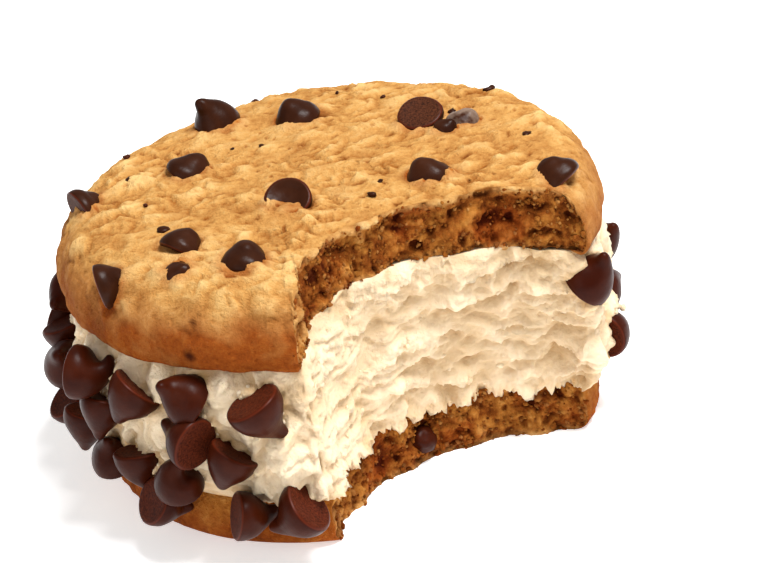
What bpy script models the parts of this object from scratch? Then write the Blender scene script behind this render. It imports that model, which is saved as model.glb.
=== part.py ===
"""An ice cream sandwich: two round chocolate chip cookies with a thick band of vanilla ice cream between
them, chocolate chips pressed into the band and baked into the cookies, and one bite taken out of a side.

Units are metres and +Z is up. The origin is the middle of the lower cookie's flat base, and the bite is on
the -Y side, towards +X. Angles go round from +X towards +Y.
"""
import math
import random

import bmesh
import bpy
from mathutils import Matrix, Vector

MM = 0.001
GAP = 0.32 * MM  # between any piece and its neighbour

# Lower cookie: a tight corner where it lay on the baking tray and a rounder one above
LOWER_RADIUS = 40.3 * MM
LOWER_THICKNESS = 9.3 * MM
LOWER_BASE_CORNER = (2.4 * MM, 2.6 * MM)  # inset and height
LOWER_TOP_CORNER = (4.0 * MM, 4.6 * MM)
LOWER_LOBES = ((2, 0.006, 40), (3, 0.007, 100), (5, 0.005, 20))

# Upper cookie: it droops towards its rim over the rounded ice cream, and leans up towards +X
UPPER_RADIUS = 43.0 * MM
UPPER_RIM_HEIGHT = 31.5 * MM
UPPER_RIM_CORNER = (1.6 * MM, 2.7 * MM)  # inset and height
UPPER_RIM_WIDEST = UPPER_RIM_HEIGHT + UPPER_RIM_CORNER[1]
UPPER_SHOULDER = (9.0 * MM, 9.8 * MM)  # width and height
UPPER_CROWN = 1.3 * MM
UPPER_LIFT = 5.5 * MM  # of the underside's middle above its rim
UPPER_LIFT_POWER = 2.2
UPPER_LEAN = math.tan(math.radians(1.2))
UPPER_SHIFT = Vector((0.8, -0.3)) * MM  # it sits a little off the middle
UPPER_LOBES = ((2, 0.005, 160), (3, 0.008, 60), (5, 0.006, 10))

# Ice cream
ICE_RADIUS = 42.4 * MM
ICE_BULGE = 0.9 * MM
ICE_EDGE = 1.6 * MM
ICE_EDGE_DROP = 0.8 * MM
ICE_LOBES = ((3, 0.010, 215), (7, 0.006, 0), (11, 0.004, 5))
ICE_WAVES = ((0.35 * MM, 5, 7), (0.30 * MM, 9, -11))  # size, waves round the band, shift from bottom to top

# Bite: the arch of the jaw, squarer than an ellipse, with a scoop for each tooth
BITE_CENTRE = Vector((22.5, -39.5)) * MM
BITE_DEPTH = 24.0 * MM
BITE_SQUARENESS = 2.5
BITE_STEPS = 48
BITE_OUT = Vector((20, -45)) * MM  # from the arch's ends to well outside the cookies
BITE_HEIGHTS = (-10 * MM, 60 * MM)
TOOTH_COUNT = 8
TOOTH_SCOOP = 1.1 * MM
# For each layer: the arch's half width, its turn and where its middle lies from the bite's
LOWER_BITE = (30.0 * MM, 20, Vector((2.0, 0.0)) * MM)
ICE_BITE = (27.0 * MM, 15, Vector((0.0, 0.5)) * MM)
UPPER_BITE = (27.0 * MM, 10, Vector((0.0, -1.0)) * MM)

# A chocolate chip: a drop of chocolate with a flat foot and a drawn-out tip that falls over
CHIP_SIDES = 8
CHIP_LENGTH = 8.6 * MM
CHIP_MIDDLE = 3.4 * MM
CHIP_RINGS = ((3.5, 0.0), (4.05, 0.9), (3.0, 3.4), (1.45, 5.6), (0.5, 7.8))  # radius and height, mm
SEAT_RINGS = ((3.5, 0.0), (4.05, 0.9), (3.0, 3.4), (0.55, 7.8))  # the hollow that a chip leaves
MELTED_LENGTH = 5.0 * MM  # a chip that the oven has slumped into a dome
MELTED_MIDDLE = 2.4 * MM
MELTED_RINGS = ((3.5, 0.0), (4.05, 0.9), (3.6, 2.4), (2.75, 3.7), (1.3, 4.7))
MELTED_SEAT_RINGS = ((3.5, 0.0), (4.05, 0.9), (3.75, 2.6), (1.6, 4.8))
CHIP_BEND_FROM = 4.0 * MM
CHIP_BEND = 1.6 * MM
CHIP_TIP_DROP = 0.4 * MM  # what the bend takes off the tip's height
MELTED_UNBEND = 0.75  # how much of its bend a melted tip loses

SIDE_STEPS = 36  # round each layer
SHARP_ANGLE = math.radians(40)

CRUST = ((0.72, 0.42, 0.17), 0.8)
VANILLA = ((0.93, 0.87, 0.74), 0.55)
CHOCOLATE = ((0.09, 0.035, 0.022), 0.38)

# Chips pressed into the ice cream where the rim of the band is open to view, one row for each: the angle
# round the band, the height, how far the middle stands out past the band, the way the tip turns (clockwise
# from up, seen from outside), how far it leans out, the way it falls over, and the size. Degrees,
# millimetres and a ratio.
BAND_RADIUS = 43.0 * MM
HIGH_CHIP = 27.0  # above this a chip also reaches into the upper cookie
LOW_CHIP = 13.0  # and below this into the lower one
RIM_CHIPS = (
    (175.0, 28.0, 0.4, 95, 32, 216, 0.82),
    (166.5, 20.5, 1.2, 150, -65, 270, 0.90),
    (175.0, 20.0, 0.3, 172, -15, 180, 0.88),
    (185.0, 20.5, 1.3, 38, 17, 95, 0.90),
    (211.5, 27.5, 2.2, 98, -38, 230, 0.90),
    (181.5, 10.2, 0.5, -168, -32, 90, 0.88),
    (194.0, 10.8, 0.2, 178, 21, 102, 0.86),
    (210.5, 19.0, 0.9, 175, 25, 124, 0.86),
    (221.5, 24.2, 1.1, -150, 37, 144, 0.90),
    (209.0, 12.2, 0.5, 14, 17, 69, 0.78),
    (220.0, 12.2, 0.3, 172, 8, 173, 0.82),
    (235.0, 28.2, 0.6, -39, 31, 11, 0.90),
    (235.5, 21.4, 1.4, -79, -18, 31, 0.90),
    (232.5, 14.8, 2.3, 5, 20, 109, 0.84),
    (244.0, 16.4, 1.1, -150, 19, 177, 0.88),
    (253.0, 25.6, 1.2, 156, -6, 210, 0.95),
    (247.5, 9.0, 1.3, 109, -31, 270, 0.84),
    (256.0, 9.2, 1.8, -129, -2, 75, 0.93),
    (227.0, 8.0, 0.8, 153, -52, 270, 0.84),
    (4.0, 24.0, 0.7, -40, 52, 200, 0.90),
    (-24.0, 28.0, 0.8, -1, 45, 231, 0.90),
    (-4.5, 18.5, 0.4, 72, 40, 107, 0.80),
    (-13.0, 14.0, 0.8, 90, 25, 167, 0.86),
)

# Chips round the back of the band, in staggered rows: the height, the first and last angle and the count.
# Then the range of each thing that varies from chip to chip, in the order of the rows above.
BACK_ROWS = ((26.0, 24.0, 158.0, 6), (19.5, 14.0, 152.0, 6), (12.5, 20.0, 162.0, 6))
BACK_SEED = 11
BACK_RANGES = (
    (-1.5, 1.5),
    (-0.6, 0.6),
    (0.3, 1.2),
    (-180, 180),
    (-25, 45),
    (0, 360),
    (0.82, 0.92),
)

# Chips baked into the upper cookie: x, y, how far the middle stands above the crust, the way the tip turns
# (clockwise from +Y, seen from above), how far it points up, the way it falls over, the size, and how far it
# has melted, from 0 for a whole drop to 1 for a dome.
UPPER_CHIPS = (
    (-15.6, 25.3, 2.2, -133, 66, 184, 0.88, 0.10),
    (-2.7, 22.1, 0.6, -75, 62, 248, 0.90, 0.75),
    (18.2, 11.7, -0.5, 20, -65, 54, 0.80, 0.30),
    (21.6, 7.2, 0.2, 100, 50, 0, 0.46, 0.80),
    (25.0, 9.9, -0.3, 80, 55, 0, 0.66, 0.80),
    (-19.8, 8.4, 0.1, 80, 45, 30, 0.86, 0.80),
    (-4.6, -11.0, -1.0, 10, -54, 0, 0.80, 0.30),
    (16.3, -9.3, 0.0, -50, 68, 0, 0.84, 0.85),
    (35.4, -13.7, 0.0, -60, 50, 60, 0.80, 0.85),
    (-36.8, 5.0, 0.2, 60, 10, 40, 0.76, 0.60),
    (-20.9, -19.2, -0.1, 50, 40, 167, 0.76, 0.75),
    (-21.8, -27.4, 0.0, 140, 50, 0, 0.50, 0.80),
    (-11.9, -27.0, -0.2, 25, 62, 42, 0.86, 0.80),
    (-32.6, -22.4, 0.5, 87, 10, 78, 0.76, 0.50),
)

# Chips that the bite cut through, in the walls of the two cookies: x, y, height, turn, lean, fall, size, melt
WALL_CHIPS = (
    ("upper", 24.0, -14.1, 37.2, 0, 85, 0, 0.58, 0.85),
    ("lower", 10.3, -17.4, 3.8, 60, 60, 0, 0.56, 0.60),
)


def clear_scene():
    for obj in list(bpy.data.objects):
        bpy.data.objects.remove(obj, do_unlink=True)


def make_material(name, colour, roughness):
    material = bpy.data.materials.new(name)
    material.use_nodes = True
    shader = material.node_tree.nodes["Principled BSDF"]
    shader.inputs["Base Color"].default_value = (*colour, 1.0)
    shader.inputs["Roughness"].default_value = roughness
    shader.inputs["Metallic"].default_value = 0.0
    return material


def add_object(name, bm, material):
    """Turns a bmesh into a named object with its faces pointing outwards."""
    bmesh.ops.recalc_face_normals(bm, faces=bm.faces)
    mesh = bpy.data.meshes.new(name)
    bm.to_mesh(mesh)
    bm.free()
    mesh.shade_smooth()
    mesh.set_sharp_from_angle(angle=SHARP_ANGLE)
    obj = bpy.data.objects.new(name, mesh)
    if material:
        obj.data.materials.append(material)
    bpy.context.scene.collection.objects.link(obj)
    return obj


def outline(radius, lobes, angle):
    """The radius at an angle, made uneven by a few broad lobes."""
    swell = sum(size * math.cos(count * (angle - math.radians(turn))) for count, size, turn in lobes)
    return radius * (1 + swell)


def outline_of(radius, lobes):
    """Makes the outline's share of its radius, less an inset, a function of the angle alone."""
    return lambda share, inset: lambda angle: share * outline(radius, lobes, angle) - inset


def upper_lean(x):
    return UPPER_LEAN * x


def under_upper(x, y):
    """The height of the upper cookie's underside, highest in the middle."""
    reach = math.hypot(x - UPPER_SHIFT.x, y - UPPER_SHIFT.y)
    share = min(1.0, reach / (UPPER_RADIUS - UPPER_RIM_CORNER[0]))
    return UPPER_RIM_HEIGHT + UPPER_LIFT * (1 - share ** UPPER_LIFT_POWER) + upper_lean(x)


def top_of_upper(x, y):
    """The height of the upper cookie's crust: a low crown that rounds off in an elliptical shoulder."""
    width, rise = UPPER_SHOULDER
    start = UPPER_RADIUS - width
    reach = math.hypot(x - UPPER_SHIFT.x, y - UPPER_SHIFT.y)
    if reach < start:
        crown = rise + UPPER_CROWN * (1 - (reach / start) ** 2)
        return UPPER_RIM_WIDEST + crown + upper_lean(x)
    drop = min(1.0, (reach - start) / width)
    return UPPER_RIM_WIDEST + rise * math.sqrt(1 - drop ** 2) + upper_lean(x)


def layer(name, rings, material):
    """A closed body from rings of points, the first and the last of them a single point."""
    bm = bmesh.new()
    loops = [[bm.verts.new(point) for point in ring] for ring in rings]
    for lower, upper in zip(loops, loops[1:]):
        for step in range(SIDE_STEPS):
            after = (step + 1) % SIDE_STEPS
            if len(lower) == 1:
                bm.faces.new((lower[0], upper[after], upper[step]))
            elif len(upper) == 1:
                bm.faces.new((lower[step], lower[after], upper[0]))
            else:
                bm.faces.new((lower[step], lower[after], upper[after], upper[step]))
    return add_object(name, bm, material)


def ring(radius_at, height_at, middle=Vector((0.0, 0.0))):
    """One loop of points from a radius for each angle and a height for each place."""
    points = []
    for step in range(SIDE_STEPS):
        angle = math.tau * step / SIDE_STEPS
        reach = radius_at(angle)
        x = middle.x + reach * math.cos(angle)
        y = middle.y + reach * math.sin(angle)
        points.append((x, y, height_at(x, y)))
    return points


def level(height):
    return lambda x, y: height


def quarter_round(corner, steps):
    """Insets and heights round a convex corner, from its flat lower end to its upright upper end."""
    width, rise = corner
    for step in range(steps):
        turn = 0.5 * math.pi * step / (steps - 1)
        yield width * (1 - math.sin(turn)), rise * (1 - math.cos(turn))


def shoulder_round(corner, steps):
    """Insets and heights round a convex corner, from its upright lower end to its flat upper end."""
    width, rise = corner
    for step in range(steps):
        turn = 0.5 * math.pi * step / (steps - 1)
        yield width * (1 - math.cos(turn)), rise * math.sin(turn)


def make_lower_cookie(material):
    """A flat-based cookie: a tight lower corner, an upright side and a rounded upper corner."""
    radius = outline_of(LOWER_RADIUS, LOWER_LOBES)
    shoulder_base = LOWER_THICKNESS - LOWER_TOP_CORNER[1]
    rings = [[(0.0, 0.0, 0.0)]]
    for inset, height in quarter_round(LOWER_BASE_CORNER, 4):
        rings.append(ring(radius(1.0, inset), level(height)))
    for inset, height in list(shoulder_round(LOWER_TOP_CORNER, 5))[1:]:
        rings.append(ring(radius(1.0, inset), level(shoulder_base + height)))
    rings.append(ring(radius(0.5, 0.0), level(LOWER_THICKNESS)))
    rings.append([(0.0, 0.0, LOWER_THICKNESS)])
    return layer("cookie_lower", rings, material)


def make_ice_cream(material):
    """A thick band whose side bulges, flat below and following the upper cookie above."""
    floor = LOWER_THICKNESS + GAP
    radius = outline_of(ICE_RADIUS, ())

    def roof(x, y):
        return under_upper(x, y) - GAP

    def side(share, inset):
        def reach(angle):
            waves = sum(size * math.sin(count * angle + shift * share) for size, count, shift in ICE_WAVES)
            bulge = ICE_BULGE * math.sin(math.pi * share)
            return outline(ICE_RADIUS, ICE_LOBES, angle) + bulge - inset + waves

        return reach

    def climb(share):
        def height(x, y):
            rise = UPPER_RIM_HEIGHT + upper_lean(x) - floor - ICE_EDGE_DROP
            return floor + rise * share

        return height

    rings = [[(0.0, 0.0, floor)]]
    rings.append(ring(radius(0.55, 0.0), level(floor)))
    rings.append(ring(side(0.0, ICE_EDGE), level(floor)))
    for share in (0.2, 0.4, 0.6, 0.8):
        rings.append(ring(side(share, 0.0), climb(share)))
    rings.append(ring(side(1.0, ICE_EDGE), roof))
    for part in (0.85, 0.6, 0.3):
        rings.append(ring(radius(part, 0.0), roof))
    rings.append([(0.0, 0.0, roof(0.0, 0.0))])
    return layer("ice_cream", rings, material)


def make_upper_cookie(material):
    """A domed cookie: hollow underneath, widest low on its side, with a broad rounded shoulder."""
    radius = outline_of(UPPER_RADIUS, UPPER_LOBES)
    plain = outline_of(UPPER_RADIUS, ())

    def leaning(height):
        return lambda x, y: height + upper_lean(x)

    rings = [[(*UPPER_SHIFT, under_upper(*UPPER_SHIFT))]]
    for part in (0.3, 0.6, 0.85):
        rings.append(ring(plain(part, 0.0), under_upper, UPPER_SHIFT))
    for inset, height in quarter_round(UPPER_RIM_CORNER, 4):
        rings.append(ring(radius(1.0, inset), leaning(UPPER_RIM_HEIGHT + height), UPPER_SHIFT))
    for inset, height in list(shoulder_round(UPPER_SHOULDER, 5))[1:]:
        rings.append(ring(radius(1.0, inset), leaning(UPPER_RIM_WIDEST + height), UPPER_SHIFT))
    for part in (0.55, 0.28):
        rings.append(ring(plain(part, 0.0), top_of_upper, UPPER_SHIFT))
    rings.append([(*UPPER_SHIFT, top_of_upper(*UPPER_SHIFT))])
    return layer("cookie_upper", rings, material)


def bite_outline(half_width, turn_degrees, shift):
    """The jaw's arch in plan: a superellipse from one side to the other, scooped out by each tooth."""
    turn = math.radians(turn_degrees)
    across = Vector((math.cos(turn), math.sin(turn)))
    deep = Vector((-math.sin(turn), math.cos(turn)))
    power = 2 / BITE_SQUARENESS
    points = []
    for step in range(BITE_STEPS + 1):
        angle = math.pi * (1 - step / BITE_STEPS)
        side = math.cos(angle)
        scoop = TOOTH_SCOOP * abs(math.sin(math.pi * TOOTH_COUNT * step / BITE_STEPS))
        wide = (half_width + scoop) * math.copysign(abs(side) ** power, side)
        far = (BITE_DEPTH + scoop) * math.sin(angle) ** power
        points.append(BITE_CENTRE + shift + across * wide + deep * far)
    return points


def cut(host, cutter):
    """Takes the cutter's space out of the host."""
    cutter.hide_render = True
    cutter.display_type = "WIRE"
    boolean = host.modifiers.new(cutter.name, "BOOLEAN")
    boolean.operation = "DIFFERENCE"
    boolean.solver = "EXACT"
    boolean.object = cutter


def bite(host, half_width, turn, shift):
    """Bites the host through its whole thickness."""
    arch = bite_outline(half_width, turn, shift)
    corners = arch + [arch[-1] + BITE_OUT, arch[0] + BITE_OUT]
    bm = bmesh.new()
    low, high = ([bm.verts.new((*corner, height)) for corner in corners] for height in BITE_HEIGHTS)
    bm.faces.new(low)
    bm.faces.new(high)
    for here in range(len(corners)):
        after = (here + 1) % len(corners)
        bm.faces.new((low[here], low[after], high[after], high[here]))
    cut(host, add_object("bite_" + host.name, bm, None))


def chip_frame(normal, up, turn, lean, fall):
    """The tip's direction and the direction it falls over, from a turn and a lean against a surface."""
    across = up.cross(normal)
    turn = math.radians(turn)
    lean = math.radians(lean)
    tip = math.cos(lean) * (math.cos(turn) * up + math.sin(turn) * across) + math.sin(lean) * normal
    first = (normal - normal.dot(tip) * tip).normalized()
    second = tip.cross(first)
    fall = math.radians(fall)
    return tip, math.cos(fall) * first + math.sin(fall) * second


def part_melted(rings, melted, melt):
    """Each ring of a chip, so far on its way from the whole drop's to the melted one's."""
    return [
        (radius + melt * (end_radius - radius), height + melt * (end_height - height))
        for (radius, height), (end_radius, end_height) in zip(rings, melted)
    ]


def chip_mesh(size, grow, rings, melt):
    """The drop of chocolate, its foot at the origin, its tip along +Z and falling over towards +X."""
    bm = bmesh.new()
    rows = [(radius * MM * size + grow, height * MM * size) for radius, height in rings]
    rows[0] = (rows[0][0], -grow)
    foot = bm.verts.new((0.0, 0.0, -grow))
    loops = []
    for radius, height in rows:
        past = max(0.0, height / size - CHIP_BEND_FROM) / (CHIP_LENGTH - CHIP_BEND_FROM)
        bend = CHIP_BEND * size * past ** 2
        loop = []
        for side in range(CHIP_SIDES):
            angle = math.tau * side / CHIP_SIDES
            loop.append(bm.verts.new((radius * math.cos(angle) + bend, radius * math.sin(angle), height)))
        loops.append(loop)
    length = CHIP_LENGTH - CHIP_TIP_DROP
    length += melt * (MELTED_LENGTH - length)
    tip = bm.verts.new((CHIP_BEND * size * (1 - MELTED_UNBEND * melt), 0.0, length * size + grow))
    for side in range(CHIP_SIDES):
        after = (side + 1) % CHIP_SIDES
        bm.faces.new((foot, loops[0][after], loops[0][side]))
        bm.faces.new((tip, loops[-1][side], loops[-1][after]))
        for lower, upper in zip(loops, loops[1:]):
            bm.faces.new((lower[side], lower[after], upper[after], upper[side]))
    return bm


def add_chip(name, middle, tip, fall, size, melt, material, hosts):
    """Sets one chip in place and opens its seat, with a little room round it, in each host."""
    foot = middle - tip * (CHIP_MIDDLE + melt * (MELTED_MIDDLE - CHIP_MIDDLE)) * size
    turned = Matrix((fall, tip.cross(fall), tip)).transposed().to_4x4()
    place = Matrix.Translation(foot) @ turned
    rings = part_melted(CHIP_RINGS, MELTED_RINGS, melt)
    chip = add_object(name, chip_mesh(size, 0.0, rings, melt), material)
    chip.matrix_world = place
    rings = part_melted(SEAT_RINGS, MELTED_SEAT_RINGS, melt)
    seat = add_object("seat_" + name, chip_mesh(size, GAP, rings, melt), None)
    seat.matrix_world = place
    for host in hosts:
        cut(host, seat)
    return chip


def side_surface(angle_degrees):
    angle = math.radians(angle_degrees)
    return Vector((math.cos(angle), math.sin(angle), 0.0)), Vector((0.0, 0.0, 1.0))


def add_side_chip(name, row, material, hosts):
    angle, height, stands, turn, lean, fall, size = row
    normal, up = side_surface(angle)
    middle = normal * (BAND_RADIUS + stands * MM) + up * height * MM
    tip, falls = chip_frame(normal, up, turn, lean, fall)
    add_chip(name, middle, tip, falls, size, 0.0, material, hosts)


def back_rows():
    """Rows of chips round the hidden side, every one with its own turn and lean."""
    chance = random.Random(BACK_SEED)
    for height, start, end, count in BACK_ROWS:
        for place in range(count):
            angle = start + (end - start) * place / (count - 1)
            row = [chance.uniform(*span) for span in BACK_RANGES]
            row[0] += angle
            row[1] += height
            yield row


def build():
    clear_scene()
    crust_lower = make_material("cookie_lower", *CRUST)
    crust_upper = make_material("cookie_upper", *CRUST)
    vanilla = make_material("ice_cream", *VANILLA)
    chocolate = make_material("chocolate", *CHOCOLATE)

    lower = make_lower_cookie(crust_lower)
    ice_cream = make_ice_cream(vanilla)
    upper = make_upper_cookie(crust_upper)
    bite(lower, *LOWER_BITE)
    bite(ice_cream, *ICE_BITE)
    bite(upper, *UPPER_BITE)

    for number, row in enumerate(RIM_CHIPS, 1):
        hosts = [ice_cream]
        if row[1] > HIGH_CHIP:
            hosts.append(upper)
        if row[1] < LOW_CHIP:
            hosts.append(lower)
        add_side_chip(f"side_chip_{number:02d}", row, chocolate, hosts)
    for number, row in enumerate(back_rows(), 1):
        add_side_chip(f"back_chip_{number:02d}", row, chocolate, [ice_cream])
    for number, (x, y, stands, turn, lean, fall, size, melt) in enumerate(UPPER_CHIPS, 1):
        middle = Vector((x * MM, y * MM, top_of_upper(x * MM, y * MM) + stands * MM))
        tip, falls = chip_frame(Vector((0, 0, 1)), Vector((0, 1, 0)), turn, lean, fall)
        add_chip(f"top_chip_{number:02d}", middle, tip, falls, size, melt, chocolate, [upper])
    for where, x, y, z, turn, lean, fall, size, melt in WALL_CHIPS:
        tip, falls = chip_frame(Vector((0, 0, 1)), Vector((0, 1, 0)), turn, lean, fall)
        host, jaw = (upper, UPPER_BITE) if where == "upper" else (lower, LOWER_BITE)
        middle = Vector((x, y, z)) * MM
        chip = add_chip(f"bitten_chip_{where}", middle, tip, falls, size, melt, chocolate, [host])
        bite(chip, *jaw)


build()
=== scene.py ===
"""An ice cream sandwich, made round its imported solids: two chocolate chip cookies, a thick band of churned
vanilla ice cream between them, chocolate chips pressed into the band, and one bite taken out of a side.

Shapes are worked out in millimetres and stored in metres. +Z is up, the bite is on the -Y side towards +X,
and angles go round from +X towards +Y.
"""
import math

import bpy
import numpy as np
from mathutils import Matrix, Vector


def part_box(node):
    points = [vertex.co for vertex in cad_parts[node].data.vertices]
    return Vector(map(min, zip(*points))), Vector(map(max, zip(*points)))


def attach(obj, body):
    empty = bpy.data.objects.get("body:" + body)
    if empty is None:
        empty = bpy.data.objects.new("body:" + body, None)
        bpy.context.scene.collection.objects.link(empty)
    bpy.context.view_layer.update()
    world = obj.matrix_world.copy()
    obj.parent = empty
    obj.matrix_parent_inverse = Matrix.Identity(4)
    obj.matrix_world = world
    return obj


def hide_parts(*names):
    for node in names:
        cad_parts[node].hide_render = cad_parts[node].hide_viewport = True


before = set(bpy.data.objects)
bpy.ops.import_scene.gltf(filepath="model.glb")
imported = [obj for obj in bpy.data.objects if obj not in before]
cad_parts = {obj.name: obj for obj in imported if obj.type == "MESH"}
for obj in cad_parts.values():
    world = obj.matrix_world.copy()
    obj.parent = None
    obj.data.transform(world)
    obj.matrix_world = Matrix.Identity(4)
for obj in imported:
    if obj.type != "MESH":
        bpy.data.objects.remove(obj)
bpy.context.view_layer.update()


# ---------------------------------------------------------------------------------------------------------
# Lower cookie. A soft baked cookie, its flat base browned on the tray. It is one closed shape: rings carried
# from the middle of the base, out and round the side to the middle of the top, all bitten through.

MM = 0.001
LOWER_BASE_CORNER = (2.4, 2.6)  # inset and height of the tight corner on the tray
LOWER_TOP_CORNER = (4.0, 4.6)
LOWER_LOBES = ((2, 0.006, 40), (3, 0.007, 100), (5, 0.005, 20))
LOWER_BITE = (28.4, 13.5, (0.8, -0.4), 2.0)  # half width, turn in degrees, shift of the middle, squareness

BITE_CENTRE = (22.5, -39.5)
BITE_DEPTH = 24.0
TOOTH_COUNT = 8
TOOTH_SCOOP = 1.1
HORN_REACH = 2.5  # how far into the bite a row takes to leave the height of the rim
HORN_SOFTENING = 10

dice = np.random.default_rng(41)
ORDER = np.tile(dice.permutation(256), 2)
SLOPES = dice.normal(size=(256, 3))
SLOPES /= np.linalg.norm(SLOPES, axis=1, keepdims=True)


def noise(points):
    """Smooth noise from about -1 to 1, its bumps one unit across. Each corner of the unit lattice has a
    random slope, and the eight ramps round a point are blended by a quintic ease."""
    cell = np.floor(points).astype(int)
    part = points - cell
    ease = part ** 3 * (part * (part * 6 - 15) + 10)
    total = np.zeros(points.shape[:-1])
    for corner in np.ndindex(2, 2, 2):
        step = np.array(corner)
        x, y, z = np.moveaxis((cell + step) & 255, -1, 0)
        slope = SLOPES[ORDER[ORDER[ORDER[x] + y] + z]]
        weight = np.prod(np.where(step, ease, 1 - ease), axis=-1)
        total += weight * np.sum((part - step) * slope, axis=-1)
    return 1.7 * total


def rough(points, layers=4, fade=0.5):
    """Noise at ever finer scales: each layer is half as wide as the last and fade times as high."""
    total = np.zeros(points.shape[:-1])
    for layer in range(layers):
        total += fade ** layer * noise(points * 2.03 ** layer + 11.7 * layer)
    return total


def puffs(points, layers=3, fade=0.5):
    """Rounded lumps with sharp creases between them: the size of the noise without its sign, in layers."""
    total = np.zeros(points.shape[:-1])
    for layer in range(layers):
        total += fade ** layer * (2 * np.abs(noise(points * 2.03 ** layer + 23.1 * layer)) - 0.6)
    return total


def ease(value, start, end):
    """Climbs smoothly from 0 at start to 1 at end."""
    share = np.clip((value - start) / (end - start), 0, 1)
    return share * share * (3 - 2 * share)


def resample(path, count):
    """The same path with its points an equal length apart."""
    along = np.concatenate([[0], np.cumsum(np.linalg.norm(np.diff(path, axis=0), axis=1))])
    wanted = np.linspace(0, along[-1], count)
    return np.stack([np.interp(wanted, along, column) for column in path.T], 1)


def lobed_radius(radius, lobes, angle):
    """The radius at an angle, made uneven by a few broad waves."""
    swell = sum(size * np.cos(count * (angle - math.radians(turn))) for count, size, turn in lobes)
    return radius * (1 + swell)


def inset_of(plan, middle, radius, lobes):
    """How far each point of a plan is inside the layer's unbitten rim."""
    off = plan - middle
    return lobed_radius(radius, lobes, np.arctan2(off[:, 1], off[:, 0])) - np.hypot(*off.T)


def jaw(bite, share):
    """The arch of the bite in plan, from its left end to its right: a superellipse scooped by each tooth."""
    half_width, turn, shift, squareness = bite
    turn = math.radians(turn)
    across = np.array([math.cos(turn), math.sin(turn)])
    deep = np.array([-math.sin(turn), math.cos(turn)])
    side = -np.cos(math.pi * share)
    height = np.clip(np.sin(math.pi * share), 0, 1)
    scoop = TOOTH_SCOOP * np.abs(np.sin(math.pi * TOOTH_COUNT * share))
    wide = (half_width + scoop) * np.sign(side) * np.abs(side) ** (2 / squareness)
    far = (BITE_DEPTH + scoop) * height ** (2 / squareness)
    return np.add(BITE_CENTRE, shift) + wide[:, None] * across + far[:, None] * deep


def bitten_row(middle, radius, lobes, bite, rim_count, arch_count):
    """The outline of a bitten layer, counterclockwise: round the rim from the bite's right horn to its left
    one, then back along the arch. Also how far each point is from the nearer horn, less than 0 in the bite."""
    arch = jaw(bite, np.linspace(0, 1, 6000))
    from_middle = arch - middle
    angle = np.arctan2(from_middle[:, 1], from_middle[:, 0])
    inside = np.hypot(*from_middle.T) < lobed_radius(radius, lobes, angle)
    turn = np.linspace(angle[inside][-1], angle[inside][0] + 2 * math.pi, 6000)
    rim = middle + lobed_radius(radius, lobes, turn)[:, None] * np.stack([np.cos(turn), np.sin(turn)], 1)
    rim = resample(rim, rim_count + 1)[:-1]
    arch = resample(arch[inside], arch_count + 1)[:-1]
    row = np.vstack([rim, arch])
    for _ in range(HORN_SOFTENING):
        row = (np.roll(row, 1, 0) + 2 * row + np.roll(row, -1, 0)) / 4
    on_rim = np.linalg.norm(rim[1] - rim[0]) * np.minimum(np.arange(rim_count), rim_count - np.arange(rim_count))
    on_arch = np.linalg.norm(arch[1] - arch[0]) * np.minimum(np.arange(arch_count), arch_count - np.arange(arch_count))
    return row, np.concatenate([on_rim, -on_arch])


def bitten_side(profile, middle, radius, lobes, bite, counts, floor, roof, lean=0.0):
    """Rows up the side of a bitten layer. On the rim each takes its inset and height from the profile; in the
    bite it eases away from that height to its even share of the way from the floor to the roof."""
    rows = []
    horns = []
    for step, (inset, height) in enumerate(profile):
        plan, to_horn = bitten_row(middle, radius - inset, lobes, bite, *counts)
        share = step / (len(profile) - 1)
        upright = (1 - share) * floor(plan) + share * roof(plan)
        height = height + lean * plan[:, 0]
        rows.append(with_height(plan, height + (upright - height) * ease(-to_horn, 0, HORN_REACH)))
        horns.append(to_horn)
    return rows, horns


def quarter(share):
    """The rise of a quarter circle: 0 at share 0 and 1 at share 1."""
    return 1 - np.sqrt(1 - np.clip(share, 0, 1) ** 2)


def corner_path(lower, upper, bottom, top):
    """Insets and heights up the side of a layer: a quarter ellipse, an upright and a quarter ellipse."""
    turn = np.linspace(0, math.pi / 2, 60)
    first = np.stack([lower[0] * (1 - np.sin(turn)), bottom + lower[1] * (1 - np.cos(turn))], 1)
    last = np.stack([upper[0] * (1 - np.cos(turn)), top - upper[1] + upper[1] * np.sin(turn)], 1)
    return np.vstack([first, last])


def with_height(plan, height):
    return np.concatenate([plan, np.broadcast_to(height, plan.shape[:1])[:, None]], 1)


def toward_hub(plan, share):
    return HUB + share * (plan[:, :2] - HUB)


def closed_rings(rings, low_pole, high_pole):
    """Joins rings of points, from the lower pole out and up to the higher one, into one closed shape."""
    size = len(rings[0])
    corner = np.arange(len(rings) * size).reshape(len(rings), size)
    after = np.roll(corner, -1, 1)
    quads = np.stack([corner[:-1], after[:-1], after[1:], corner[1:]], -1).reshape(-1, 4)
    low, high = corner.size, corner.size + 1
    below = np.stack([np.full(size, low), after[0], corner[0]], 1)
    above = np.stack([corner[-1], after[-1], np.full(size, high)], 1)
    points = np.vstack([np.reshape(rings, (-1, 3)), [low_pole], [high_pole]])
    return points, [quads, np.vstack([below, above])]


def normals_of(points, faces):
    """The direction out of the surface at each point: the sum of the areas of the faces round it."""
    total = np.zeros_like(points)
    for group in faces:
        corner = points[group]
        area = np.cross(corner[:, 2] - corner[:, 0], corner[:, -1] - corner[:, 1])
        for column in group.T:
            for axis in range(3):
                total[:, axis] += np.bincount(column, area[:, axis], len(points))
    return total / np.maximum(np.linalg.norm(total, axis=1, keepdims=True), 1e-12)


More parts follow.
